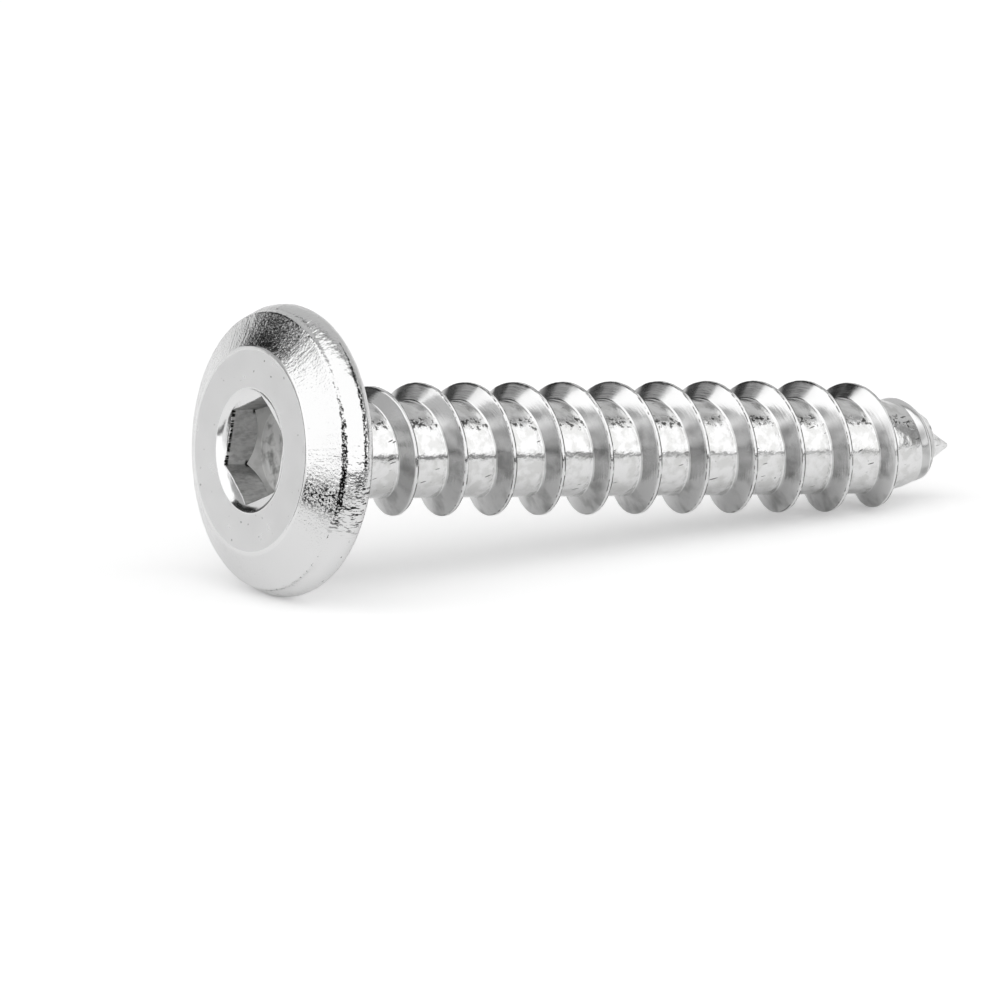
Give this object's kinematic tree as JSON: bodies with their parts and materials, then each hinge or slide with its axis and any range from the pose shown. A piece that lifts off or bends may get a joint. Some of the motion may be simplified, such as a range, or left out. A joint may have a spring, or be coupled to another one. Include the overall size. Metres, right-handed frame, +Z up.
{
  "type": "hex socket furniture screw",
  "caption": "Furniture screw with a wide flat bevelled head, a hex socket and a coarse wood thread up to the head, ending in a short blunt point.",
  "frame": {"origin": "on the floor, under the middle of the bounding box of the screw as it lies", "axes": "+X towards the point, +Z up; the screw lies on its rim and its last thread crests, so its axis dips 6.7 degrees towards the point in the XZ plane"},
  "size_m": [0.0438, 0.015, 0.0149],
  "materials": {
    "nickel_plate": "bright nickel plate on steel, satin on the flat face, wrinkled on the bevel and rim"
  },
  "bodies": {
    "root": {"screw": "nickel_plate"}
  },
  "joints": []
}
